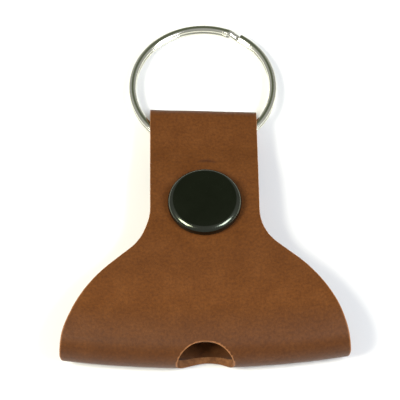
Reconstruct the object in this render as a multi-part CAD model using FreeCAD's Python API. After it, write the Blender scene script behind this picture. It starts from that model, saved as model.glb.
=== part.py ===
"""Leather pick holder on a split ring: a folded pouch that a snap fastener closes.

The holder lies on its back on a table, z = 0. X runs across the strap and +Y runs from the pouch to the ring.
All places are worked out from the foot of the snap, and are moved to the row frame when the parts are written.
One piece of leather runs from the end of the back strap, round the fold at the mouth of the thumb notch, up the
front, round the ring and back under the front strap. It is cut into nodes where it bends, so that it can move.
"""

import FreeCAD
import Part

import math
import os

Vector = FreeCAD.Vector

# ---- leather -------------------------------------------------------------------------------------------------
leather = 1.6  # thickness of the hide
strap_width = 22.4
fan_width = 58.7  # across the pouch at the fold
neck_radius = 10.5  # inside curve where the strap runs into the fan
neck_turn = 50.0  # degrees that the neck turns the edge away from the strap's direction
fan_radius = 29.9  # round shoulder of the fan
neck_start = -0.45  # y where the strap stops being straight, measured from the snap
pouch_length = 33.45  # from the snap to the outside of the fold
fold_radius = 5.0  # outside of the round fold at the foot of the pouch
fold_rise = 15.0  # degrees that the front still rises where it leaves the round fold
crest_radius = 20.0  # gentle bend over the top of the pouch
notch_width = 11.3  # thumb notch, a hole that is round on the grain side of the fold
notch_lift = 8.0  # degrees that the notch sits above the foremost line of the fold
strap_length = 24.6  # from the snap to the outside of the loop round the ring
loop_gap = 2.9  # free height inside the loop
loop_lead = 1.4  # straight stretch of the loop before it reaches the ring
tail_end = 7.2  # how far the turned-back tail reaches past the snap
back_strap_end = 9.0  # how far the back strap reaches past the snap
back_corner = 3.0  # rounded corners of the back strap's end
crease = 11.0  # y of the place above the snap where the strap bends
crease_length = 2.6  # stretch of strap that does the bending
seat_tilt = 5.0  # degrees that the snap leans towards the ring
seat_half = 8.2  # flat stretch of leather that is pinched by the snap, each side of its middle
table_gap = 0.02  # between the loop and the table
seat_ease = 30.0  # bend where a panel meets the flat stretch under the snap
seat_short = 0.4  # the flat stretch is this much shorter above the snap
strap_ease = 10.0  # bend of the front strap above the snap
loop_ease = 8.0  # bend where the front strap runs out over the ring
tail_ease = 3.0  # both bends of the tail under the strap
tail_shift = 0.7  # how much nearer the ring the tail turns up than the strap above it
loop_share = 0.15  # share of the tail's rise at which the loop's strip is cut
back_ease = 25.0  # bend where the back leaves the table
back_flat = 2.0  # flat stretch of the back on the table
front_corner = 0.5  # rounding left at the far corners of the front strap
panel_start = 1.0  # the panels start this far past the axis of the fold

# ---- split ring ----------------------------------------------------------------------------------------------
ring_diameter = 31.6
wire_width = 1.55  # across the oval wire, along the ring's radius
wire_height = 0.98  # one coil
coil_gap = 0.04  # between the two coils
ring_play = 0.35  # between the ring and the leather that it lies on
loop_play = 0.35  # between the wire and the inside of the loop, at the strap's edges
step_angle = 62.5  # where the wire steps from the lower coil to the upper one
step_half = 5.0  # degrees, half of the step
end_half = 6.2  # degrees from the middle of the step to each cut end

# ---- snap fastener -------------------------------------------------------------------------------------------
sheet = 0.35  # sheet metal of the pressed pieces
clearance = 0.05  # between pieces that pass through each other
snap_gap = 0.1  # between the socket's mouth and the stud's foot
post_flange = 10.0  # diameter of the eyelet's head on the back
post_head = 0.5  # its thickness
post_bore = 2.6
stud_foot = 11.0  # diameter of the stud's foot
stud_neck = 5.3  # diameter of the waist that the spring grips
stud_bulb = 6.0  # diameter of the bulb
stud_height = 2.3  # from the back leather to the top of the bulb
socket_diameter = 12.0
socket_height = 2.75
socket_mouth = 6.8  # diameter of the opening that takes the bulb
spring_wire = 0.55
barrel = 3.7  # outside diameter of the two tubes that go through the leather
cap_diameter = 15.2
cap_height = 2.3
cap_shoulder = 1.3  # round edge of the cap
cap_crown = 0.35  # rise of the cap's face over its shoulder
cap_lip = 0.9  # how far the cap's rim is rolled in over its plate

# ---- worked out from the values above ------------------------------------------------------------------------
half = leather / 2
tilt = math.radians(seat_tilt)
foot_z = post_flange / 2 * math.sin(tilt)  # the eyelet's head touches the table at its edge
n_back = post_head + half  # heights of the leather's middle above the snap's foot
n_stud = post_head + leather
n_socket = n_stud + sheet + snap_gap
n_tail = n_socket + socket_height + half
n_front = n_tail + leather
n_cap = n_front + half
fold_mid = fold_radius - half
fold_y = -pouch_length + fold_radius  # axis of the round fold
notch_reach = notch_width / 2 / fold_radius  # angle that the notch covers each side of its middle
ring_outer = ring_diameter / 2
ring_inner = ring_outer - wire_width
ring_half = wire_height + coil_gap / 2
loop_mid = loop_gap / 2 + half
loop_y = strap_length - loop_mid - half  # axis of the loop's bend
ring_y = (
    strap_length
    - leather
    - loop_play
    + math.sqrt(ring_inner**2 - (strap_width / 2) ** 2)
)
ring_low = table_gap + leather + ring_play + ring_half  # height of the ring inside the loop
ring_tilt = math.asin((ring_low - ring_half) / (ring_y + ring_outer - loop_y))
ring_z = ring_half * math.cos(ring_tilt) + ring_outer * math.sin(ring_tilt)
loop_floor = table_gap + half  # middle of the tail where it turns into the loop
far_end = ring_y + ring_outer * math.cos(ring_tilt) + ring_half * math.sin(ring_tilt)
middle_y = (far_end - pouch_length) / 2
wide = 2 * fan_width  # longer than anything that it cuts
tall = 4 * fold_radius


def on_seat(along, above):
    """A point given in the snap's own tilted axes, as (y, z)."""
    return (
        along * math.cos(tilt) + above * math.sin(tilt),
        foot_z - along * math.sin(tilt) + above * math.cos(tilt),
    )


def place_on_seat(shape):
    """Stands a shape made round the z axis on the foot of the snap."""
    shape.Placement = FreeCAD.Placement(
        Vector(0, 0, foot_z), FreeCAD.Rotation(Vector(1, 0, 0), -seat_tilt)
    )
    return shape


# ---- strips of leather ---------------------------------------------------------------------------------------
def crossing(p, d, q, e):
    """Where the line through p along d meets the line through q along e."""
    s = ((q[0] - p[0]) * e[1] - (q[1] - p[1]) * e[0]) / (d[0] * e[1] - d[1] * e[0])
    return (p[0] + s * d[0], p[1] + s * d[1])


def one_side(points, radii, shift):
    """The edges of a path of straight runs and tangent arcs, moved sideways by shift, in the plane x = 0."""
    ways, starts = [], []
    for a, b in zip(points, points[1:]):
        length = math.dist(a, b)
        way = ((b[0] - a[0]) / length, (b[1] - a[1]) / length)
        ways.append(way)
        starts.append((a[0] - shift * way[1], a[1] + shift * way[0]))
    corners = [
        crossing(starts[i], ways[i], starts[i + 1], ways[i + 1])
        for i in range(len(ways) - 1)
    ]
    last = points[-1]
    end = (last[0] - shift * ways[-1][1], last[1] + shift * ways[-1][0])
    edges, at = [], starts[0]
    for corner, before, after, radius in zip(corners, ways, ways[1:], radii):
        cross = before[0] * after[1] - before[1] * after[0]
        turn = math.atan2(cross, before[0] * after[0] + before[1] * after[1])
        side = math.copysign(1.0, turn)
        bent = radius - shift * side
        back = bent * math.tan(abs(turn) / 2)
        first = (corner[0] - back * before[0], corner[1] - back * before[1])
        second = (corner[0] + back * after[0], corner[1] + back * after[1])
        centre = (first[0] - side * bent * before[1], first[1] + side * bent * before[0])
        chord = (corner[0] - centre[0], corner[1] - centre[1])
        reach = bent / math.hypot(*chord)
        middle = (centre[0] + chord[0] * reach, centre[1] + chord[1] * reach)
        if math.dist(at, first) > 1e-6:
            edges.append(Part.LineSegment(Vector(0, *at), Vector(0, *first)).toShape())
        edges.append(
            Part.Arc(Vector(0, *first), Vector(0, *middle), Vector(0, *second)).toShape()
        )
        at = second
    if math.dist(at, end) > 1e-6:
        edges.append(Part.LineSegment(Vector(0, *at), Vector(0, *end)).toShape())
    return edges, starts[0], end


def strip(points, radii):
    """A sheet of leather that follows a path in the plane x = 0, as wide as anything will need."""
    left, left_start, left_end = one_side(points, radii, half)
    right, right_start, right_end = one_side(points, radii, -half)
    caps = [
        Part.LineSegment(Vector(0, *left_end), Vector(0, *right_end)).toShape(),
        Part.LineSegment(Vector(0, *left_start), Vector(0, *right_start)).toShape(),
    ]
    outline = Part.Wire(Part.__sortEdges__(left + right + caps))
    sheet_of_leather = Part.Face(outline).extrude(Vector(wide, 0, 0))
    sheet_of_leather.translate(Vector(-wide / 2, 0, 0))
    return sheet_of_leather


def fold_and_crest(target):
    """Corners of the front's path over the round fold and over the crest of the pouch, towards a target."""
    rising = math.radians(fold_rise)
    cut = fold_mid * math.tan(math.pi / 4 - rising / 2)
    corner = (fold_y - fold_mid, fold_radius + cut)
    falling = 0.0
    for _ in range(12):
        reach = cut + crest_radius * math.tan((rising + falling) / 2)
        crest = (corner[0] + reach * math.cos(rising), corner[1] + reach * math.sin(rising))
        falling = math.atan2(crest[1] - target[1], target[0] - crest[0])
    return corner, crest


def front_paths():
    """From the nose of the fold up the front and round the ring, and then from the loop back to the tail's end."""
    nose = (fold_y - fold_mid, fold_radius)
    seat_low = on_seat(-seat_half, n_front)
    corner, crest = fold_and_crest(seat_low)
    seat_high = on_seat(seat_half - seat_short, n_front)
    slope = math.tan(ring_tilt)
    drop = loop_y - (ring_y - ring_outer - loop_lead)
    lift = 2 * loop_mid / math.cos(ring_tilt)
    bend = (loop_y - drop, loop_floor + drop * slope + lift)
    along = (math.cos(ring_tilt), -math.sin(ring_tilt))
    under = (loop_y, loop_floor)
    far_under = (under[0] + loop_mid * along[0], under[1] + loop_mid * along[1])
    far_over = (
        far_under[0] + 2 * loop_mid * math.sin(ring_tilt),
        far_under[1] + 2 * loop_mid * math.cos(ring_tilt),
    )
    tail_bend = (bend[0] + tail_shift, loop_floor + (drop - tail_shift) * slope)
    tail_seat = on_seat(seat_half - seat_short, n_tail)
    tail_stop = on_seat(-tail_end, n_tail)
    before = (
        tail_seat[0] + loop_share * (tail_bend[0] - tail_seat[0]),
        tail_seat[1] + loop_share * (tail_bend[1] - tail_seat[1]),
    )
    front = [nose, corner, crest, seat_low, seat_high, bend, far_over, far_under, tail_bend, before]
    front_radii = [fold_mid, crest_radius, seat_ease, strap_ease, loop_ease, loop_mid, loop_mid, tail_ease]
    return (front, front_radii), ([tail_bend, tail_seat, tail_stop], [tail_ease])


def back_path():
    """From the nose of the fold along the back to the end of the back strap."""
    nose = (fold_y - fold_mid, fold_radius)
    corner = (fold_y - fold_mid, half)
    flat_end = (fold_y + back_flat, half)
    seat_low = on_seat(-seat_half, n_back)
    stop = on_seat(back_strap_end, n_back)
    return [nose, corner, flat_end, seat_low, stop], [fold_mid, back_ease, seat_ease]


# ---- outline of the blank ------------------------------------------------------------------------------------
def blank_outline(top, corner):
    """A block with the plan outline of the blank: strap, neck, shoulders and straight foot."""
    turn = math.radians(neck_turn)
    strap, fan = strap_width / 2, fan_width / 2
    neck_x = strap + neck_radius
    neck_end = (neck_x - neck_radius * math.cos(turn), neck_start - neck_radius * math.sin(turn))
    run = (fan - neck_end[0] - fan_radius * (1 - math.cos(turn))) / math.sin(turn)
    shoulder = (neck_end[0] + run * math.sin(turn), neck_end[1] - run * math.cos(turn))
    centre = (fan - fan_radius, shoulder[1] - fan_radius * math.sin(turn))
    foot = -pouch_length - fold_radius

    def arc(middle, radius, start, stop):
        """Three points of an arc, from their angles at its centre."""
        angles = (start, (start + stop) / 2, stop)
        return [
            Vector(middle[0] + radius * math.cos(a), middle[1] + radius * math.sin(a), 0)
            for a in angles
        ]

    neck = arc((neck_x, neck_start), neck_radius, math.pi, math.pi + turn)
    round_part = arc(centre, fan_radius, turn, 0.0)
    end = arc((strap - corner, top - corner), corner, math.pi / 2, 0.0)
    side = [
        Part.LineSegment(Vector(0, top, 0), end[0]),
        Part.Arc(*end),
        Part.LineSegment(end[2], neck[0]),
        Part.Arc(*neck),
        Part.LineSegment(neck[2], round_part[0]),
        Part.Arc(*round_part),
        Part.LineSegment(round_part[2], Vector(fan, foot, 0)),
        Part.LineSegment(Vector(fan, foot, 0), Vector(0, foot, 0)),
    ]
    right = Part.Wire([curve.toShape() for curve in side])
    left = right.mirror(Vector(0, 0, 0), Vector(1, 0, 0))
    whole = Part.Wire(Part.__sortEdges__(right.Edges + left.Edges))
    block = Part.Face(whole).extrude(Vector(0, 0, tall))
    block.translate(Vector(0, 0, -tall / 4))
    return block


def between(shape, low, high):
    """The solids of a shape that lie between two values of y, the highest first."""
    slab = Part.makeBox(wide, high - low, tall, Vector(-wide / 2, low, -tall / 4))
    found = shape.common(slab).Solids
    return sorted(found, key=lambda s: -s.CenterOfMass.z)


def hole(diameter):
    """A round cutter on the snap's axis."""
    cutter = Part.makeCylinder(diameter / 2, tall, Vector(0, 0, -tall / 4), Vector(0, 0, 1))
    return place_on_seat(cutter)


def notch_block():
    """Cutter for the thumb notch, a round hole whose walls stand square to the hide all the way round the fold."""
    radius = notch_width / 2
    count = 24
    shares = [i / count for i in range(count + 1)]
    outlines = []
    for distance in (fold_radius * 0.2, fold_radius * 1.2):
        points = []
        for share in shares[:-1]:
            turn = 2 * math.pi * share
            up = math.tan(notch_reach * math.sin(turn))
            points.append(
                Vector(radius * math.cos(turn), fold_y - distance, fold_radius + distance * up)
            )
        curve = Part.BSplineCurve()
        curve.interpolate(Points=points, PeriodicFlag=True, Parameters=shares)
        outlines.append(Part.Wire([curve.toShape()]))
    cutter = Part.makeLoft(outlines, True, True)
    cutter.rotate(Vector(0, fold_y, fold_radius), Vector(1, 0, 0), -notch_lift)
    return cutter


def leather_parts():
    """All the leather nodes, cut from the bent front, tail and back strips."""
    front_blank = blank_outline(strap_length + leather, front_corner)
    back_blank = blank_outline(on_seat(back_strap_end, n_back)[0], back_corner)
    front_run, tail_run = front_paths()
    front = strip(*front_run).common(front_blank)
    tail_blank = Part.makeBox(strap_width, wide, tall, Vector(-strap_width / 2, -wide / 2, -tall / 4))
    tail = strip(*tail_run).common(tail_blank)
    back = strip(*back_path()).common(back_blank)
    punched = notch_block()
    tube_hole = hole(barrel + 2 * clearance)
    front = front.cut(punched).cut(tube_hole)
    tail = tail.cut(tube_hole)
    back = back.cut(punched).cut(tube_hole)
    fold_edge = fold_y + panel_start
    start, stop = crease - crease_length / 2, crease + crease_length / 2
    upper_fold = between(front, -tall * 2, fold_edge)[0]
    crease_front, crease_tail = between(front, start, stop)
    loop = between(front, stop, strap_length + tall)[0]
    return {
        "front_panel": between(front, fold_edge, start)[0],
        "upper_fold": upper_fold,
        "strap_tail": between(tail, -tall, start)[0],
        "crease_front": crease_front,
        "crease_tail": crease_tail,
        "ring_loop": loop,
        "back_panel": between(back, fold_edge, tall * 2)[0],
        "lower_fold": between(back, -tall * 2, fold_edge)[0],
    }


# ---- split ring ----------------------------------------------------------------------------------------------
def wire_section(angle, height):
    """The oval section of the wire, at an angle round the ring and a height above its middle."""
    oval = Part.Ellipse(Vector(0, 0, 0), wire_width / 2, wire_height / 2)
    section = Part.Wire([oval.toShape()])
    section.rotate(Vector(0, 0, 0), Vector(1, 0, 0), 90)
    section.translate(Vector((ring_inner + ring_outer) / 2, 0, height))
    section.rotate(Vector(0, 0, 0), Vector(0, 0, 1), angle)
    return section


def split_ring():
    """Two coils of oval wire and the step between them, as one wire."""
    level = (wire_height + coil_gap) / 2
    axis = Vector(0, 0, 1)
    turn = 360 - end_half - step_half

    def coil(start, height):
        """A flat coil that starts at an angle."""
        face = Part.Face(wire_section(start, height))
        return face.revolve(Vector(0, 0, 0), axis, turn)

    lower = coil(step_angle + end_half, -level)
    upper = coil(step_angle + step_half, level)
    steps = 8
    sections = []
    for i in range(steps + 1):
        share = i / steps
        smooth = share * share * (3 - 2 * share)
        angle = step_angle - step_half + 2 * step_half * share
        sections.append(wire_section(angle, level * (2 * smooth - 1)))
    step = Part.makeLoft(sections, True, True)
    ring = lower.fuse([step, upper]).removeSplitter()
    ring.rotate(Vector(0, 0, 0), Vector(1, 0, 0), -math.degrees(ring_tilt))
    ring.translate(Vector(0, ring_y, ring_z))
    return ring


# ---- snap fastener -------------------------------------------------------------------------------------------
def turned(outline):
    """A solid turned round the snap's axis from an outline of (radius, height) points.

    A point with a third value is the middle of an arc between its neighbours.
    """
    edges, i = [], 0
    ring = outline + [outline[0]]
    while i < len(ring) - 1:
        here = Vector(ring[i][0], 0, ring[i][1])
        following = ring[i + 1]
        if len(following) == 3:
            after = ring[i + 2]
            curve = Part.Arc(here, Vector(following[0], 0, following[1]), Vector(after[0], 0, after[1]))
            i += 2
        else:
            curve = Part.LineSegment(here, Vector(following[0], 0, following[1]))
            i += 1
        edges.append(curve.toShape())
    face = Part.Face(Part.Wire(edges))
    solid = face.revolve(Vector(0, 0, 0), Vector(0, 0, 1), 360)
    return place_on_seat(solid)


def snap_cap():
    """Domed shell with a round shoulder, its rim rolled in over the plate."""
    r, low, high = cap_diameter / 2, n_cap, n_cap + cap_height
    flat = high - cap_crown  # height where the shoulder meets the crown
    b = cap_shoulder
    c = b * (1 - math.sqrt(0.5))
    inside = b - sheet
    d = inside * (1 - math.sqrt(0.5))
    face = r - b  # radius of the crowned face
    bow = (face**2 + cap_crown**2) / (2 * cap_crown)  # radius of the crown's own curve
    rise = cap_crown - bow + math.sqrt(bow**2 - (face / 2) ** 2)  # at half the face's radius
    lip = r - cap_lip
    return turned(
        [
            (0, high),
            (face / 2, flat + rise, "arc"),
            (face, flat),
            (r - c, flat - c, "arc"),
            (r, flat - b),
            (r, low + sheet),
            (r - 0.1, low + 0.1, "arc"),
            (r - sheet, low),
            (lip, low),
            (lip, low + sheet),
            (r - sheet, low + sheet),
            (r - sheet, flat - b),
            (r - sheet - d, flat - sheet - d, "arc"),
            (face, flat - sheet),
            (face / 2, flat + rise - sheet, "arc"),
            (0, high - sheet),
        ]
    )


def cap_post():
    """Plate inside the cap with the tube that goes through the front strap and is flared in the socket."""
    low = n_cap
    r = cap_diameter / 2 - cap_lip - clearance
    tube, bore = barrel / 2, barrel / 2 - sheet
    flare_top = n_socket + socket_height - sheet
    flare = tube + 0.9
    return turned(
        [
            (bore, low + sheet),
            (r, low + sheet),
            (r, low),
            (tube, low),
            (tube, flare_top),
            (flare, flare_top),
            (flare, flare_top - sheet),
            (bore + 0.15, flare_top - sheet),
            (bore, flare_top - sheet + 0.15),
        ]
    )


def socket():
    """Shallow cup with a rolled mouth that holds the spring."""
    r, low, high = socket_diameter / 2, n_socket, n_socket + socket_height
    mouth = socket_mouth / 2
    tube = barrel / 2 + clearance
    c = 0.6
    k = c * (1 - math.sqrt(0.5))
    return turned(
        [
            (tube, high),
            (r - c, high),
            (r - k, high - k, "arc"),
            (r, high - c),
            (r, low + c),
            (r - k, low + k, "arc"),
            (r - c, low),
            (mouth + sheet / 2, low),
            (mouth, low + sheet / 2, "arc"),
            (mouth + sheet / 2, low + sheet),
            (r - c, low + sheet),
            (r - sheet, low + c, "arc"),
            (r - sheet, low + c + 0.2),
            (r - sheet, high - c),
            (r - sheet - 0.1, high - sheet - 0.1, "arc"),
            (r - c, high - sheet),
            (tube, high - sheet),
        ]
    )


def socket_spring():
    """Open ring of round wire that grips the stud's waist."""
    reach = stud_neck / 2 + clearance + spring_wire / 2
    height = n_socket + sheet + clearance + spring_wire / 2
    circle = Part.Circle(Vector(reach, 0, height), Vector(0, 1, 0), spring_wire / 2)
    face = Part.Face(Part.Wire([circle.toShape()]))
    solid = face.revolve(Vector(0, 0, 0), Vector(0, 0, 1), 330)
    solid.rotate(Vector(0, 0, 0), Vector(0, 0, 1), 105)
    return place_on_seat(solid)


def stud():
    """Foot and hollow bulb that snaps into the socket."""
    low, top = n_stud, n_stud + stud_height
    foot, neck, bulb = stud_foot / 2, stud_neck / 2, stud_bulb / 2
    waist = n_socket + sheet + clearance + spring_wire / 2
    bulge = top - 0.55
    tube = barrel / 2 + clearance
    mouth = 1.9
    return turned(
        [
            (tube, low),
            (foot - sheet / 2, low),
            (foot, low + sheet / 2, "arc"),
            (foot - sheet / 2, low + sheet),
            (neck + 0.3, low + sheet),
            (neck + 0.05, low + sheet + 0.1, "arc"),
            (neck, waist),
            (bulb, bulge),
            (bulb - 0.15, top - 0.15, "arc"),
            (bulb - 0.6, top),
            (mouth, top),
            (mouth, top - sheet),
            (bulb - 0.75, top - sheet),
            (bulb - sheet, bulge - 0.1),
            (neck - sheet, waist),
            (neck - sheet, low + sheet),
            (tube, low + sheet),
        ]
    )


def stud_post():
    """Eyelet with a low domed head on the back, its tube flared over the stud's foot."""
    tube, bore = barrel / 2, post_bore / 2
    flare = stud_neck / 2 - sheet - clearance  # the stud's waist is hollow
    head = post_flange / 2
    top = n_stud + sheet
    return turned(
        [
            (bore + 0.3, 0),
            (head - 0.25, 0),
            (head - 0.07, 0.07, "arc"),
            (head, 0.25),
            (head - 0.07, post_head - 0.07, "arc"),
            (head - 0.25, post_head),
            (tube, post_head),
            (tube, top),
            (flare, top),
            (flare, top + 0.2),
            (tube, top + 0.45),
            (bore, top + 0.45),
            (bore, 0.3),
            (bore + 0.09, 0.09, "arc"),
        ]
    )


# ---- all the parts -------------------------------------------------------------------------------------------
parts = leather_parts()
parts["split_ring"] = split_ring()
for make in (snap_cap, cap_post, socket, socket_spring, stud, stud_post):
    parts[make.__name__] = make()

os.makedirs("parts", exist_ok=True)
for name, shape in parts.items():
    moved = shape.copy()
    moved.translate(Vector(0, -middle_y, 0))
    print(
        f"{name}: {len(moved.Solids)} solid(s), valid {moved.isValid()}, {moved.Volume:.1f} mm3,"
        f" z {moved.BoundBox.ZMin:.2f} to {moved.BoundBox.ZMax:.2f}"
    )
    moved.exportStep(f"parts/{name}.step")
print(
    f"middle_y {middle_y:.3f}, ring tilt {math.degrees(ring_tilt):.2f},"
    f" ring centre {ring_y - middle_y:.3f} {ring_z:.3f}"
)
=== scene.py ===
"""Looks for the pick holder: bent leather over the CAD frame, metal finishes, a pale table and soft light."""

import math

import bpy

from mathutils import Matrix, Vector, noise


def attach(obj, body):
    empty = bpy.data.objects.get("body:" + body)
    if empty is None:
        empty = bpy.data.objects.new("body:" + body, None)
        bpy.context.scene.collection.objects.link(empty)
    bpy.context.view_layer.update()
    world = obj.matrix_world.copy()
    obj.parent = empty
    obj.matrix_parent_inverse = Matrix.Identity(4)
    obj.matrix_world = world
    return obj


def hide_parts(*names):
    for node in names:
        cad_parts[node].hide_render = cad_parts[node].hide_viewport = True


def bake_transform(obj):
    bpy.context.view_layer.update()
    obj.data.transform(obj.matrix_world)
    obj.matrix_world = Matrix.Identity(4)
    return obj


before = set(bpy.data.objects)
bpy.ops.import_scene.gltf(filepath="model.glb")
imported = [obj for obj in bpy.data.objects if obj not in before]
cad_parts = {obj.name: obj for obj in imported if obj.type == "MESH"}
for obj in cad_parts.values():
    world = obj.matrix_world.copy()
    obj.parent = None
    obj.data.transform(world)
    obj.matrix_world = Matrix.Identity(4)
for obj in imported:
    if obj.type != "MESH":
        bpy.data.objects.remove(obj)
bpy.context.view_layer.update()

MM = 0.001
BLANK_UNIT = 100.0  # one unit of the leather's own flat map, in millimetres

# The leather blank, in millimetres from the foot of the snap. These repeat the frame's own sizes.
HIDE = 1.6
STRAP_HALF = 11.2
FAN_HALF = 29.35
NECK_RADIUS = 10.5
NECK_TURN = math.radians(50.0)
FAN_RADIUS = 29.9
NECK_START = -0.45
FOLD_Y = -28.45
FOLD_OUTER = 5.0
FOLD_MID = 4.2
FOLD_BORDER = -27.45
FOLD_RISE = math.radians(15.0)  # the front still rises this much where it leaves the round fold
CREST_RADIUS = 20.0  # gentle bend over the top of the pouch
SEAT_TILT = math.radians(5.0)
SEAT_FOOT = 5.0 * math.sin(SEAT_TILT)
BACK_LEVEL = 1.3
TAIL_LEVEL = 6.1
FRONT_LEVEL = 7.7
BACK_STRAP_END = 9.0
TAIL_END = 7.2  # how far the tail reaches past the snap
SEAT_HALF = 8.2  # flat stretch under the snap, each side of its middle
SEAT_SHORT = 0.4  # the flat stretch is this much shorter above the snap
BACK_FLAT = 2.0  # flat stretch of the back on the table
LOOP_END = 24.6  # outside of the loop round the ring
LOOP_LEAD = 1.4  # straight stretch of the loop before it reaches the ring
LOOP_MID = 2.25  # bend of the loop, at the middle of the hide
LOOP_PLAY = 0.35  # between the wire and the inside of the loop, at the strap's edges
TABLE_GAP = 0.02  # between the loop and the table
TAIL_SHIFT = 0.7  # how much nearer the ring the tail turns up than the strap above it
RING_OUTER = 15.8
RING_INNER = 14.25
RING_PLAY = 0.35  # between the ring and the leather that it lies on
SEAT_EASE = 30.0  # bend where a panel meets the flat stretch under the snap
BACK_EASE = 25.0  # bend where the back leaves the table
STRAP_EASE = 10.0  # bend of the front strap above the snap
LOOP_EASE = 8.0  # bend where the front strap runs out over the ring
TAIL_EASE = 3.0  # both bends of the tail under the strap
BACK_CORNER = 3.0
TAIL_CORNER = 1.5
NOTCH_HALF = 5.65
NOTCH_LIFT = math.radians(8.0)
TUBE_HOLE = 1.9
SNAP_Y = -6.920  # where the foot of the snap is in the frame
LOOP_FAR_Y = 23.7  # where the strap has reached the far side of the loop

# How finely the leather is meshed, in millimetres.
COLUMNS = 120
ROW_GAP = 0.5
TIGHT_ROW_GAP = 0.3  # where the blank bends tighter than TIGHT_CURVE
TIGHT_CURVE = 0.15
HOLE_REACH = 0.75  # points of a rim this near to a punched hole are moved on to it
SAME_ROW = 0.01
SIDE_REACH = 0.05  # points this near to the blank's side edge are part of it
BORDER_HEIGHT = 1.3  # the cut faces of a joined end lie this near to its border in z
BORDER_REACH = 1.0  # and this near in y
SMOOTH_ANGLE = math.radians(35)

# How use has shaped it, in millimetres.
NOSE_BOW = 2.2  # the fan's two corners sit further up than the middle of the fold
SHOULDER_DROP = 1.0  # the left shoulder of the fan is cut lower than the right one
FAN_SHIFT = -0.4  # the fan sits a little to the left of the strap's middle
LOOP_REACH = 0.15
LOOP_SLANT = 0.045  # the strap is folded round the ring at a slight slant
BACK_SKEW = 1.05  # the back half of the fan has slipped to the right of the front half
# Each pair is where a shape starts and where it is full.
BOW_STARTS = 6.0  # how far below the snap the fan starts to bow
DROP_STARTS = (2.0, 8.0)  # how far below the snap the left shoulder's lower cut starts
DROP_ENDS = (-31.0, -24.0)  # the y over which it fades out towards the fold
SHIFT_STARTS = (0.0, 9.0)  # how far below the snap the fan's shift starts
SKEW_STARTS = (8.0, 22.0)  # how far below the snap the back's slip starts
SLANT_STARTS = (14.0, 22.0)  # the y over which the loop's slant starts
WAVINESS = 0.09
LONG_WAVE = (13, 13, 9)
SHORT_WAVE = 5
SHORT_SHARE = 0.4
WAVE_START = Vector((3.1, 7.7, 1.3))
WAVE_GROWTH = (2.0, 5.0)  # heights between which the waves grow: the back stays flat on the table
CAP_PRESS = 0.16  # the cap presses the leather down by this
PRESS_REACH = (12.0, 7.4)  # the dent starts and is full at these distances from the snap
CREASE_MARK_X = 0.7  # a short crease in the grain, drawn with a bump and painted shade, this far right of the cap's middle
CREASE_MARK_Y = 10.1  # and this far above it
CREASE_MARK_HALF = 2.3  # half its length
CREASE_MARK_ARCH = 0.45  # how far its middle is arched up
CREASE_MARK_SLANT = 0.20  # how far its right end lies below its middle, and its left end above
CREASE_MARK_WIDTH = 0.46
CORNER_WEAR = 0.5  # the cut edges are worn back where they run round the fold
WEAR_REACH = 3.4
WEAR_SHIFT = 1.9  # the wear is deepest this far before the foremost line of the fold
CUT_ROUND = 0.28  # rounding of the cut edges


def deselect():
    """Nothing stays selected."""
    if bpy.context.object and bpy.context.object.mode != "OBJECT":
        bpy.ops.object.mode_set(mode="OBJECT")
    bpy.ops.object.select_all(action="DESELECT")


def hold(piece):
    """Only this piece is selected, and it is the active one."""
    deselect()
    piece.select_set(True)
    bpy.context.view_layer.objects.active = piece


def rise(low, high, value):
    """0 below low, 1 above high, and a smooth rise between them."""
    share = min(max((value - low) / (high - low), 0.0), 1.0)
    return share * share * (3 - 2 * share)


# ---- the blank's route ----------------------------------------------------------------------------
def on_seat(along, above):
    """A point in the snap's tilted axes, as (y, z)."""
    return (
        along * math.cos(SEAT_TILT) + above * math.sin(SEAT_TILT),
        SEAT_FOOT - along * math.sin(SEAT_TILT) + above * math.cos(SEAT_TILT),
    )


def bent_route(points, radii):
    """The middle of a bent sheet as runs and arcs: (length, start, heading, curvature) for each."""
    runs = []
    at = points[0]
    for i, radius in enumerate(radii):
        before = math.atan2(points[i + 1][1] - points[i][1], points[i + 1][0] - points[i][0])
        after = math.atan2(points[i + 2][1] - points[i + 1][1], points[i + 2][0] - points[i + 1][0])
        turn = math.remainder(after - before, 2 * math.pi)
        cut = radius * math.tan(abs(turn) / 2)
        length = math.dist(at, points[i + 1]) - cut
        if length > 1e-4:
            runs.append((length, at, before, 0.0))
        start = (
            points[i + 1][0] - cut * math.cos(before),
            points[i + 1][1] - cut * math.sin(before),
        )
        runs.append((radius * abs(turn), start, before, math.copysign(1 / radius, turn)))
        at = (points[i + 1][0] + cut * math.cos(after), points[i + 1][1] + cut * math.sin(after))
    last = math.atan2(points[-1][1] - points[-2][1], points[-1][0] - points[-2][0])
    runs.append((math.dist(at, points[-1]), at, last, 0.0))
    return runs


def along_route(runs, distance):
    """Place and outward direction at a distance along the route."""
    for length, start, heading, curve in runs:
        if distance <= length or (length, start, heading, curve) == runs[-1]:
            break
        distance -= length
    turned = heading + curve * distance
    if curve:
        y = start[0] + (math.sin(turned) - math.sin(heading)) / curve
        z = start[1] - (math.cos(turned) - math.cos(heading)) / curve
    else:
        y = start[0] + distance * math.cos(heading)
        z = start[1] + distance * math.sin(heading)
    return (y, z), (-math.sin(turned), math.cos(turned))


def to_micrometre(point):
    """A point in millimetres, rounded to the nearest micrometre."""
    return tuple(round(value, 3) for value in point)


def fold_and_crest(target):
    """Corners of the route over the round fold and over the crest of the pouch, towards a target."""
    cut = FOLD_MID * math.tan(math.pi / 4 - FOLD_RISE / 2)
    corner = (FOLD_Y - FOLD_MID, FOLD_OUTER + cut)
    falling = 0.0
    for _ in range(12):
        reach = cut + CREST_RADIUS * math.tan((FOLD_RISE + falling) / 2)
        crest = (corner[0] + reach * math.cos(FOLD_RISE), corner[1] + reach * math.sin(FOLD_RISE))
        falling = math.atan2(crest[1] - target[1], target[0] - crest[0])
    return [to_micrometre(corner), to_micrometre(crest)]


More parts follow.
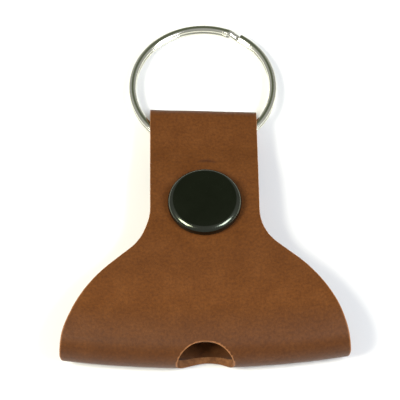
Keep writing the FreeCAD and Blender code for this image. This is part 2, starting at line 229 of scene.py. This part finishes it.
def loop_corners():
    """Corners of the route over the ring, round the loop and back under the ring."""
    loop_y = LOOP_END - HIDE / 2 - LOOP_MID
    loop_z = TABLE_GAP + HIDE / 2
    ring_y = LOOP_END - HIDE - LOOP_PLAY + math.sqrt(RING_INNER**2 - STRAP_HALF**2)
    tilt = math.asin((TABLE_GAP + HIDE + RING_PLAY) / (ring_y + RING_OUTER - loop_y))
    drop = loop_y - (ring_y - RING_OUTER - LOOP_LEAD)
    lift = 2 * LOOP_MID
    over = (loop_y - drop, loop_z + drop * math.tan(tilt) + lift / math.cos(tilt))
    far_under = (loop_y + LOOP_MID * math.cos(tilt), loop_z - LOOP_MID * math.sin(tilt))
    far_over = (far_under[0] + lift * math.sin(tilt), far_under[1] + lift * math.cos(tilt))
    under = (over[0] + TAIL_SHIFT, loop_z + (drop - TAIL_SHIFT) * math.tan(tilt))
    return [to_micrometre(corner) for corner in (over, far_over, far_under, under)]


SEAT_LOW = on_seat(-SEAT_HALF, FRONT_LEVEL)
ROUTE = bent_route(
    [
        on_seat(BACK_STRAP_END, BACK_LEVEL),
        on_seat(-SEAT_HALF, BACK_LEVEL),
        (FOLD_Y + BACK_FLAT, HIDE / 2),
        (FOLD_Y - FOLD_MID, HIDE / 2),
        *fold_and_crest(SEAT_LOW),
        SEAT_LOW,
        on_seat(SEAT_HALF - SEAT_SHORT, FRONT_LEVEL),
        *loop_corners(),
        on_seat(SEAT_HALF - SEAT_SHORT, TAIL_LEVEL),
        on_seat(-TAIL_END, TAIL_LEVEL),
    ],
    [
        SEAT_EASE,
        BACK_EASE,
        FOLD_MID,
        FOLD_MID,
        CREST_RADIUS,
        SEAT_EASE,
        STRAP_EASE,
        LOOP_EASE,
        LOOP_MID,
        LOOP_MID,
        TAIL_EASE,
        TAIL_EASE,
    ],
)
ROUTE_LENGTH = sum(run[0] for run in ROUTE)


def where(low, high, test):
    """The distance along the route, between low and high, where a test on (y, z) turns true."""
    for _ in range(50):
        middle = (low + high) / 2
        if test(*along_route(ROUTE, middle)[0]):
            high = middle
        else:
            low = middle
    return high


# The stretches' borders and the holes' middles along the route, each with the limits of its search.
BACK_BORDER = where(0.0, 45.0, lambda y, z: y < FOLD_BORDER)
NOSE = where(0.0, 45.0, lambda y, z: z > FOLD_OUTER)
FRONT_BORDER = where(NOSE, 70.0, lambda y, z: y > FOLD_BORDER)
LOOP_TOP = where(FRONT_BORDER, 105.0, lambda y, z: y > LOOP_FAR_Y)
BACK_TUBE = where(0.0, 20.0, lambda y, z: y < on_seat(0, BACK_LEVEL)[0])
FRONT_TUBE = where(FRONT_BORDER, 80.0, lambda y, z: y > on_seat(0, FRONT_LEVEL)[0])
TAIL_TUBE = where(LOOP_TOP + 8, ROUTE_LENGTH, lambda y, z: y < on_seat(0, TAIL_LEVEL)[0])


def outline(y):
    """Half the front's width at a place y of the finished holder."""
    if y > NECK_START:
        return STRAP_HALF
    neck_x = STRAP_HALF + NECK_RADIUS
    neck_low = NECK_START - NECK_RADIUS * math.sin(NECK_TURN)
    neck_end = (neck_x - NECK_RADIUS * math.cos(NECK_TURN), neck_low)
    if y > neck_low:
        return neck_x - math.sqrt(NECK_RADIUS**2 - (y - NECK_START) ** 2)
    run = (FAN_HALF - neck_end[0] - FAN_RADIUS * (1 - math.cos(NECK_TURN))) / math.sin(NECK_TURN)
    shoulder_y = neck_end[1] - run * math.cos(NECK_TURN)
    if y > shoulder_y:
        return neck_end[0] + (neck_end[1] - y) * math.tan(NECK_TURN)
    centre_y = shoulder_y - FAN_RADIUS * math.sin(NECK_TURN)
    return FAN_HALF - FAN_RADIUS + math.sqrt(FAN_RADIUS**2 - max(y - centre_y, 0.0) ** 2)


def bow(x, y):
    """How far a point of the fan is drawn up towards the ring."""
    return NOSE_BOW * (x / FAN_HALF) ** 2 * rise(BOW_STARTS, FOLD_OUTER - FOLD_Y, -y)


def half_width(distance, side):
    """The blank's width on one side of its middle, at a distance along the route. side is -1 or 1."""
    y = along_route(ROUTE, distance)[0][0]
    if distance > LOOP_TOP:
        spare = max(TAIL_CORNER - (ROUTE_LENGTH - distance), 0.0)
        return STRAP_HALF - TAIL_CORNER + math.sqrt(max(TAIL_CORNER**2 - spare**2, 0.0))
    if y > 0:
        spare = max(BACK_CORNER - distance, 0.0)
        return STRAP_HALF - BACK_CORNER + math.sqrt(max(BACK_CORNER**2 - spare**2, 0.0))
    drop = SHOULDER_DROP if side < 0 else 0.0
    drop *= rise(*DROP_STARTS, -y) * rise(*DROP_ENDS, y)
    width = outline(y + drop)
    for _ in range(4):
        width = outline(y + drop + bow(width, y))
    return width - CORNER_WEAR * rise(WEAR_REACH, 0.0, abs(distance - NOSE + WEAR_SHIFT))


def lie(across, distance):
    """Where a point of the flat blank lies on the finished holder, on its grain side, in metres."""
    (y, z), (out_y, out_z) = along_route(ROUTE, distance)
    y += out_y * HIDE / 2
    z += out_z * HIDE / 2
    x = across
    long_wave = Vector((x / LONG_WAVE[0], y / LONG_WAVE[1], z / LONG_WAVE[2]))
    wave = noise.noise(long_wave + WAVE_START)
    wave += SHORT_SHARE * noise.noise(Vector((x / SHORT_WAVE, y / SHORT_WAVE, z / SHORT_WAVE)))
    growth = rise(*WAVE_GROWTH, z)
    y += out_y * WAVINESS * wave * growth
    z += out_z * WAVINESS * wave * growth
    if NOSE < distance < LOOP_TOP:
        from_snap = math.hypot(x, y - on_seat(0, FRONT_LEVEL)[0])
        z -= CAP_PRESS * rise(*PRESS_REACH, from_snap)
    y += bow(x, y)
    x += FAN_SHIFT * rise(*SHIFT_STARTS, -y)
    x += BACK_SKEW * rise(NOSE, BACK_BORDER, distance) * rise(*SKEW_STARTS, -y)
    y += (LOOP_REACH - LOOP_SLANT * x) * rise(*SLANT_STARTS, y)
    return Vector((x, y + SNAP_Y, z)) * MM


def rows_between(low, high):
    """Distances along the route for the rows of a mesh, closer together where the blank bends."""
    rows, done = [low], 0.0
    for length, _, _, curve in ROUTE:
        start, stop = max(done, low), min(done + length, high)
        if stop - start > 1e-6:
            gap = ROW_GAP if abs(curve) < TIGHT_CURVE else TIGHT_ROW_GAP
            count = max(1, math.ceil((stop - start) / gap))
            rows += [start + (stop - start) * (k + 1) / count for k in range(count)]
        done += length
    return rows


def leather_sheet(name, low, high, holes, open_ends):
    """A stretch of the blank between two distances, bent to its place, punched and given its thickness.

    Each hole is (distance, half width across, half width along).
    The open ends are those that meet another stretch.
    """
    rows = rows_between(low, high)
    deselect()
    bpy.ops.mesh.primitive_grid_add(x_subdivisions=COLUMNS, y_subdivisions=len(rows) - 1, size=2)
    piece = bpy.context.object
    piece.name = piece.data.name = name
    mesh = piece.data
    flat = []
    for vertex in mesh.vertices:
        column = round((vertex.co.x + 1) / 2 * COLUMNS)
        row = rows[round((vertex.co.y + 1) / 2 * (len(rows) - 1))]
        share = 2 * column / COLUMNS - 1
        flat.append((share * half_width(row, share), row))
    widths = [(half_width(row, -1) + half_width(row, 1)) / 2 for row in rows]
    bpy.ops.object.mode_set(mode="EDIT")
    bpy.ops.mesh.select_all(action="DESELECT")
    bpy.ops.object.mode_set(mode="OBJECT")
    for face in mesh.polygons:
        u = sum(flat[v][0] for v in face.vertices) / len(face.vertices)
        v = sum(flat[v][1] for v in face.vertices) / len(face.vertices)
        face.select = any(
            (u / across) ** 2 + ((v - at) / along) ** 2 < 1 for at, across, along in holes
        )
    keep = piece.data.attributes.new("flat_place", "FLOAT_VECTOR", "POINT")
    for i, place in enumerate(flat):
        keep.data[i].vector = (place[0], place[1], 0)
    if holes:
        bpy.ops.object.mode_set(mode="EDIT")
        bpy.ops.mesh.select_mode(type="FACE")
        bpy.ops.mesh.delete(type="FACE")
        bpy.ops.object.mode_set(mode="OBJECT")
    mesh = piece.data
    flat = [tuple(item.vector)[:2] for item in mesh.attributes["flat_place"].data]
    uses = {}
    for face in mesh.polygons:
        for edge in face.edge_keys:
            uses[edge] = uses.get(edge, 0) + 1
    rim = {v for edge, count in uses.items() if count == 1 for v in edge}
    for v in rim:
        for at, across, along in holes:
            reach = math.hypot(flat[v][0] / across, (flat[v][1] - at) / along)
            if (reach - 1) * min(across, along) < HOLE_REACH:
                flat[v] = (flat[v][0] / reach, at + (flat[v][1] - at) / reach)
    for vertex, place in zip(mesh.vertices, flat):
        vertex.co = lie(*place)
    cut_line = mesh.attributes.new("cut_line", "FLOAT", "POINT")
    for v in rim:
        across, along = flat[v]
        joined = any(abs(along - end) < SAME_ROW for end in open_ends)
        if not joined or abs(across) > half_width(along, across) - SIDE_REACH:
            cut_line.data[v].value = 1.0
    sheet_map = mesh.uv_layers[0]
    sheet_map.name = "blank"
    for loop in mesh.loops:
        place = flat[loop.vertex_index]
        sheet_map.data[loop.index].uv = (place[0] / BLANK_UNIT, place[1] / BLANK_UNIT)
    mesh.attributes.remove(mesh.attributes["flat_place"])
    for finish in (GRAIN, SUEDE, RAW_EDGE, PALE_RIM):
        mesh.materials.append(finish)
    hold(piece)
    bpy.ops.object.modifier_add(type="SOLIDIFY")
    wall = piece.modifiers[-1]
    wall.thickness = HIDE * MM
    wall.offset = -1
    wall.use_even_offset = True
    wall.material_offset = 1
    wall.material_offset_rim = 2
    bpy.ops.object.modifier_apply(modifier=wall.name)
    round_cut_edges(piece, open_ends)
    bpy.ops.object.shade_smooth_by_angle(angle=SMOOTH_ANGLE)
    return piece


def round_cut_edges(piece, open_ends):
    """Rounds the two corners of every cut edge, but not where the stretch meets the next one."""
    mesh = piece.data
    borders = [lie(0.0, row) for row in open_ends]
    weight = mesh.attributes.new("bevel_weight_edge", "FLOAT", "EDGE")
    edge_number = {edge.key: edge.index for edge in mesh.edges}
    seen = {}
    for face in mesh.polygons:
        for key in face.edge_keys:
            seen.setdefault(key, []).append(face)
    for key, faces in seen.items():
        cut = [face for face in faces if face.material_index == 2]
        if len(cut) != 1 or len(faces) != 2:
            continue
        middle, facing = cut[0].center, cut[0].normal
        across_strap = abs(facing.y) > 0.8 and abs(facing.x) < 0.35
        on_border = False
        for border in borders:
            bowed_y = border.y + bow(middle.x / MM, border.y / MM - SNAP_Y) * MM
            near_y = abs(middle.y - bowed_y) < BORDER_REACH * MM
            near_z = abs(middle.z - border.z) < BORDER_HEIGHT * MM
            on_border = on_border or (near_y and near_z)
        if not (across_strap and on_border):
            weight.data[edge_number[key]].value = 1.0
    hold(piece)
    bpy.ops.object.modifier_add(type="BEVEL")
    rounding = piece.modifiers[-1]
    rounding.limit_method = "WEIGHT"
    rounding.width = CUT_ROUND * MM
    rounding.segments = 2
    rounding.material = 3
    rounding.use_clamp_overlap = True
    bpy.ops.object.modifier_apply(modifier=rounding.name)


# ---- finishes ------------------------------------------------------------------------------------
def new_finish(name):
    """An empty material with its shader, and a helper that adds nodes to it."""
    material = bpy.data.materials.new(name)
    material.use_nodes = True
    tree = material.node_tree
    shader = tree.nodes["Principled BSDF"]

    def add(kind, links=(), **settings):
        made = tree.nodes.new(kind)
        for key, value in settings.items():
            if key in made.inputs:
                made.inputs[key].default_value = value
            else:
                setattr(made, key, value)
        for socket, source in dict(links).items():
            tree.links.new(source, made.inputs[socket])
        return made

    return material, shader, add, tree.links.new


def ramp(add, source, stops):
    """A colour ramp over a value, from (place, colour) stops."""
    made = add("ShaderNodeValToRGB", {"Fac": source})
    band = made.color_ramp
    band.elements[0].position, band.elements[0].color = stops[0][0], (*stops[0][1], 1)
    band.elements[1].position, band.elements[1].color = stops[-1][0], (*stops[-1][1], 1)
    for place, colour in stops[1:-1]:
        band.elements.new(place).color = (*colour, 1)
    return made.outputs["Color"]


def grain_finish():
    """Smooth brown grain side: uneven dye, fine pores, a soft wax shine, one short crease with painted shade
    in it, painted shade round the fold and a painted sheen band further from it.
    """
    material, shader, add, link = new_finish("brown_grain")
    blank = add("ShaderNodeUVMap", uv_map="blank").outputs["UV"]

    def sums(operation, a, b, clamp=False):
        """One sum on two values, each a socket or a number."""
        node = add("ShaderNodeMath", operation=operation, use_clamp=clamp)
        for place, value in enumerate((a, b)):
            if isinstance(value, (int, float)):
                node.inputs[place].default_value = value
            else:
                link(value, node.inputs[place])
        return node.outputs[0]

    split = add("ShaderNodeSeparateXYZ", {"Vector": blank})
    from_middle = sums("SUBTRACT", split.outputs["X"], CREASE_MARK_X / BLANK_UNIT)
    across = sums("DIVIDE", from_middle, CREASE_MARK_HALF / BLANK_UNIT)
    arch = sums("SUBTRACT", 1.0, sums("MULTIPLY", across, across), True)
    arched = sums("MULTIPLY", arch, CREASE_MARK_ARCH / BLANK_UNIT)
    mark = sums("ADD", (FRONT_TUBE + CREASE_MARK_Y) / BLANK_UNIT, arched)
    mark = sums("SUBTRACT", mark, sums("MULTIPLY", across, CREASE_MARK_SLANT / BLANK_UNIT))
    gap = sums("ABSOLUTE", sums("SUBTRACT", split.outputs["Y"], mark), 0.0)
    line = sums("SUBTRACT", 1.0, sums("DIVIDE", gap, CREASE_MARK_WIDTH / BLANK_UNIT), True)
    crease = sums("MULTIPLY", arch, line)

    cloud = add("ShaderNodeTexNoise", {"Vector": blank}, Scale=22.0, Detail=6.0, Roughness=0.6)
    dye = ramp(
        add,
        cloud.outputs["Fac"],
        [
            (0.3, (0.094, 0.0290, 0.0045)),
            (0.52, (0.108, 0.0345, 0.0060)),
            (0.72, (0.123, 0.0410, 0.0082)),
        ],
    )
    speck = add("ShaderNodeTexNoise", {"Vector": blank}, Scale=170.0, Detail=5.0, Roughness=0.7)
    fleck = ramp(add, speck.outputs["Fac"], [(0.35, (0.72, 0.69, 0.64)), (0.65, (1.22, 1.22, 1.20))])
    dyed = add("ShaderNodeMix", data_type="RGBA", blend_type="MULTIPLY")
    dyed.inputs["Factor"].default_value = 0.8
    link(dye, dyed.inputs[6])
    link(fleck, dyed.inputs[7])
    # Painted shade: the crease line is darkened as if shaded in its groove.
    crease_shaded = add("ShaderNodeMix", data_type="RGBA", blend_type="MIX")
    link(sums("MULTIPLY", crease, 0.95), crease_shaded.inputs["Factor"])
    link(dyed.outputs[2], crease_shaded.inputs[6])
    crease_shaded.inputs[7].default_value = (0.050, 0.014, 0.003, 1)
    # Painted shade darkens the grain within about 9 mm of the fold's nose, and a painted sheen band lightens
    # it about 14 mm from the nose.
    from_nose = sums("ABSOLUTE", sums("SUBTRACT", split.outputs["Y"], NOSE / BLANK_UNIT), 0.0)
    fold_shade_and_sheen = ramp(
        add,
        sums("DIVIDE", from_nose, 30.0 / BLANK_UNIT),
        [
            (0.08, (0.74, 0.73, 0.70)),
            (0.30, (0.92, 0.92, 0.90)),
            (0.46, (1.10, 1.10, 1.10)),
            (0.75, (1.0, 1.0, 1.0)),
        ],
    )
    fold_shaded_grain = add("ShaderNodeMix", data_type="RGBA", blend_type="MULTIPLY")
    fold_shaded_grain.inputs["Factor"].default_value = 1.0
    link(crease_shaded.outputs[2], fold_shaded_grain.inputs[6])
    link(fold_shade_and_sheen, fold_shaded_grain.inputs[7])
    edge = add("ShaderNodeAttribute", attribute_name="cut_line").outputs["Fac"]
    ragged = sums("ADD", edge, sums("MULTIPLY", speck.outputs["Fac"], 0.5))
    bare = sums("MULTIPLY", sums("SUBTRACT", ragged, 0.62), 2.0, True)
    edged = add("ShaderNodeMix", data_type="RGBA", blend_type="MIX")
    link(bare, edged.inputs["Factor"])
    link(fold_shaded_grain.outputs[2], edged.inputs[6])
    edged.inputs[7].default_value = (0.29, 0.120, 0.043, 1)
    link(edged.outputs[2], shader.inputs["Base Color"])
    shine = add("ShaderNodeMapRange", {"Value": speck.outputs["Fac"]})
    shine.inputs["To Min"].default_value = 0.58
    shine.inputs["To Max"].default_value = 0.44
    link(shine.outputs["Result"], shader.inputs["Roughness"])
    pores = add("ShaderNodeTexVoronoi", {"Vector": blank}, Scale=260.0)
    pits = add("ShaderNodeMapRange", {"Value": pores.outputs["Distance"]})
    pits.inputs["From Max"].default_value = 0.35
    fine = add("ShaderNodeTexNoise", {"Vector": blank}, Scale=420.0, Detail=3.0)
    folds = add("ShaderNodeTexNoise", {"Vector": blank}, Scale=60.0, Detail=3.0, Roughness=0.5)
    pitted = sums("ADD", pits.outputs["Result"], fine.outputs["Fac"])
    height = sums("ADD", pitted, sums("MULTIPLY", folds.outputs["Fac"], 2.0))
    height = sums("SUBTRACT", height, sums("MULTIPLY", crease, 4.0))
    bump = add("ShaderNodeBump", {"Height": height}, Strength=0.45, Distance=0.00005)
    link(bump.outputs["Normal"], shader.inputs["Normal"])
    shader.inputs["Specular IOR Level"].default_value = 0.22
    return material


def suede_finish():
    """Flesh side: orange-brown nap with loose fibres."""
    material, shader, add, link = new_finish("suede_side")
    place = add("ShaderNodeTexCoord").outputs["Object"]
    cloud = add("ShaderNodeTexNoise", {"Vector": place}, Scale=260.0, Detail=6.0, Roughness=0.65)
    nap = ramp(
        add,
        cloud.outputs["Fac"],
        [(0.3, (0.075, 0.027, 0.008)), (0.55, (0.135, 0.050, 0.016)), (0.75, (0.23, 0.095, 0.034))],
    )
    link(nap, shader.inputs["Base Color"])
    fibres = add("ShaderNodeTexNoise", {"Vector": place}, Scale=2600.0, Detail=5.0, Roughness=0.7)
    bump = add("ShaderNodeBump", {"Height": fibres.outputs["Fac"]}, Strength=0.8, Distance=0.00012)
    link(bump.outputs["Normal"], shader.inputs["Normal"])
    shader.inputs["Roughness"].default_value = 0.95
    shader.inputs["Specular IOR Level"].default_value = 0.08
    shader.inputs["Sheen Weight"].default_value = 0.06
    return material


def raw_edge_finish(name, stops):
    """Cut edge: loose tan fibres with darker dye stains."""
    material, shader, add, link = new_finish(name)
    place = add("ShaderNodeTexCoord").outputs["Object"]
    cloud = add("ShaderNodeTexNoise", {"Vector": place}, Scale=900.0, Detail=6.0, Roughness=0.7)
    fibre = ramp(add, cloud.outputs["Fac"], stops)
    link(fibre, shader.inputs["Base Color"])
    fine = add("ShaderNodeTexNoise", {"Vector": place}, Scale=3200.0, Detail=4.0, Roughness=0.7)
    bump = add("ShaderNodeBump", {"Height": fine.outputs["Fac"]}, Strength=0.7, Distance=0.0001)
    link(bump.outputs["Normal"], shader.inputs["Normal"])
    shader.inputs["Roughness"].default_value = 0.85
    shader.inputs["Specular IOR Level"].default_value = 0.25
    return material


def plated_finish(name, colour, roughness, wear, scratch_scale):
    """Plated metal with faint handling marks: fine scratches and a little uneven polish."""
    material, shader, add, link = new_finish(name)
    place = add("ShaderNodeTexCoord").outputs["Object"]
    cloud = add("ShaderNodeTexNoise", {"Vector": place}, Scale=220.0, Detail=4.0, Roughness=0.6)
    dull = tuple(c * (1 - wear) for c in colour)
    bright = tuple(min(c * (1 + wear), 1) for c in colour)
    tone = ramp(add, cloud.outputs["Fac"], [(0.3, dull), (0.7, bright)])
    link(tone, shader.inputs["Base Color"])
    polish = add("ShaderNodeMapRange", {"Value": cloud.outputs["Fac"]})
    polish.inputs["To Min"].default_value = roughness * 0.8
    polish.inputs["To Max"].default_value = roughness * 1.25
    link(polish.outputs["Result"], shader.inputs["Roughness"])
    scratch = add("ShaderNodeTexNoise", {"Vector": place}, Scale=scratch_scale, Detail=3.0)
    bump = add("ShaderNodeBump", {"Height": scratch.outputs["Fac"]}, Strength=0.06, Distance=0.00002)
    link(bump.outputs["Normal"], shader.inputs["Normal"])
    shader.inputs["Metallic"].default_value = 1.0
    return material


def table_finish():
    """Plain pale table."""
    material, shader, _, _ = new_finish("pale_table")
    shader.inputs["Base Color"].default_value = (0.92, 0.92, 0.92, 1)
    shader.inputs["Roughness"].default_value = 0.9
    shader.inputs["Specular IOR Level"].default_value = 0.1
    return material


GRAIN = grain_finish()
SUEDE = suede_finish()
RAW_EDGE = raw_edge_finish(
    "raw_cut_edge",
    [(0.3, (0.085, 0.031, 0.009)), (0.5, (0.165, 0.064, 0.020)), (0.72, (0.26, 0.115, 0.042))],
)
PALE_RIM = raw_edge_finish(
    "pale_cut_rim",
    [(0.3, (0.32, 0.150, 0.062)), (0.5, (0.50, 0.270, 0.125)), (0.72, (0.66, 0.42, 0.230))],
)
NICKEL = plated_finish("bright_nickel", (0.77, 0.77, 0.66), 0.13, 0.05, 1800.0)
GUNMETAL = plated_finish("black_nickel_cap", (0.080, 0.088, 0.068), 0.16, 0.10, 2400.0)
SNAP_METAL = plated_finish("black_nickel_snap", (0.20, 0.20, 0.19), 0.28, 0.12, 1600.0)

# ---- leather -------------------------------------------------------------------------------------
back_leather = leather_sheet(
    "leather_back", 0.0, BACK_BORDER, [(BACK_TUBE, TUBE_HOLE, TUBE_HOLE)], [BACK_BORDER]
)
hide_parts("back_panel")
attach(back_leather, "back")

notch = (NOSE + NOTCH_LIFT * FOLD_MID, NOTCH_HALF, NOTCH_HALF * FOLD_MID / FOLD_OUTER)
fold_leather = leather_sheet(
    "leather_fold", BACK_BORDER, FRONT_BORDER, [notch], [BACK_BORDER, FRONT_BORDER]
)
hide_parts("upper_fold", "lower_fold")
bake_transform(fold_leather)

front_leather = leather_sheet(
    "leather_front",
    FRONT_BORDER,
    ROUTE_LENGTH,
    [(FRONT_TUBE, TUBE_HOLE, TUBE_HOLE), (TAIL_TUBE, TUBE_HOLE, TUBE_HOLE)],
    [FRONT_BORDER],
)
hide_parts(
    "front_panel", "strap_tail", "crease_front", "crease_tail", "ring_loop"
)
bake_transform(front_leather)

# ---- metal ---------------------------------------------------------------------------------------
for node_name, finish in (
    ("split_ring", NICKEL),
    ("snap_cap", GUNMETAL),
    ("cap_post", SNAP_METAL),
    ("socket", SNAP_METAL),
    ("socket_spring", SNAP_METAL),
    ("stud", SNAP_METAL),
    ("stud_post", SNAP_METAL),
):
    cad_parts[node_name].material_slots[0].material = finish

# ---- table, light and camera ---------------------------------------------------------------------
TABLE_SIZE = 3.0
TABLE_DROP = 0.0001  # keeps the table's face clear of the leather that lies on it

deselect()
bpy.ops.mesh.primitive_plane_add(size=TABLE_SIZE, location=(0, 0, -TABLE_DROP))
table = bpy.context.object
table.name = "table"
table.data.materials.append(table_finish())


LAMP_X = 0.36
LAMP_Y = -0.15
LAMP_Z = 0.46
LAMP_SIZE = 0.24


def soft_light(name, side, power, colour):
    """A square soft light that faces the holder. side is -1 on the left and 1 on the right."""
    place = Vector((side * LAMP_X, LAMP_Y, LAMP_Z))
    bpy.ops.object.light_add(type="AREA", location=place)
    lamp = bpy.context.object
    lamp.name = name
    lamp.data.shape = "RECTANGLE"
    lamp.data.size = lamp.data.size_y = LAMP_SIZE
    lamp.data.energy = power
    lamp.data.color = colour
    lamp.rotation_euler = (-place).to_track_quat("-Z", "Y").to_euler()


soft_light("left_softbox", -1, 4.0, (1.0, 0.98, 0.84))
soft_light("right_softbox", 1, 2.8, (0.90, 0.94, 1.0))

# The doorway's soft edges: where it is still dark, and where the wall is white again.
DOOR_SIDES = (0.22, 0.42)
DOOR_DEPTH = (0.38, 0.18)
DOOR_FOOT = (0.34, 0.20)


def studio_room():
    """An even white room with one dark doorway behind the holder, for the metal to mirror."""
    world = bpy.data.worlds.new("studio_room")
    bpy.context.scene.world = world
    world.use_nodes = True
    room = world.node_tree
    way = room.nodes.new("ShaderNodeTexCoord")
    split = room.nodes.new("ShaderNodeSeparateXYZ")
    room.links.new(way.outputs["Generated"], split.inputs["Vector"])

    def outside(socket, dark, light):
        """0 where a direction is inside the doorway, 1 where it is outside."""
        made = room.nodes.new("ShaderNodeMapRange")
        made.interpolation_type = "SMOOTHSTEP"
        made.inputs["From Min"].default_value = dark
        made.inputs["From Max"].default_value = light
        room.links.new(socket, made.inputs["Value"])
        return made.outputs["Result"]

    def larger(one, other):
        """The larger of two values."""
        made = room.nodes.new("ShaderNodeMath")
        made.operation = "MAXIMUM"
        room.links.new(one, made.inputs[0])
        room.links.new(other, made.inputs[1])
        return made.outputs[0]

    across = room.nodes.new("ShaderNodeMath")
    across.operation = "ABSOLUTE"
    room.links.new(split.outputs["X"], across.inputs[0])
    beside = outside(across.outputs[0], *DOOR_SIDES)
    before = outside(split.outputs["Y"], *DOOR_DEPTH)
    below = outside(split.outputs["Z"], *DOOR_FOOT)
    wall = room.nodes.new("ShaderNodeMix")
    wall.data_type = "RGBA"
    room.links.new(larger(larger(beside, before), below), wall.inputs["Factor"])
    wall.inputs[6].default_value = (0.30, 0.34, 0.23, 1)
    wall.inputs[7].default_value = (1.0, 1.0, 1.0, 1)
    background = room.nodes["Background"]
    room.links.new(wall.outputs[2], background.inputs["Color"])
    background.inputs["Strength"].default_value = 0.40


studio_room()
bpy.context.scene.view_settings.view_transform = "Standard"

ELEVATION = math.radians(64.3)
ROLL = math.radians(-0.9)
LENS = 185.2
SENSOR = 36.0
CAMERA_PLACE = Vector((-0.96, -181.35 + SNAP_Y, 388.9)) * MM

camera_data = bpy.data.cameras.new("view")
camera_data.sensor_width = SENSOR
camera_data.lens = LENS
camera = bpy.data.objects.new("view", camera_data)
bpy.context.scene.collection.objects.link(camera)
forward = Vector((0, math.cos(ELEVATION), -math.sin(ELEVATION)))
upward = Vector((0, math.sin(ELEVATION), math.cos(ELEVATION)))
upward = Matrix.Rotation(-ROLL, 3, forward) @ upward
sideways = forward.cross(upward)
turned = Matrix((sideways, upward, -forward)).transposed()
camera.matrix_world = Matrix.Translation(CAMERA_PLACE) @ turned.to_4x4()
bpy.context.scene.camera = camera
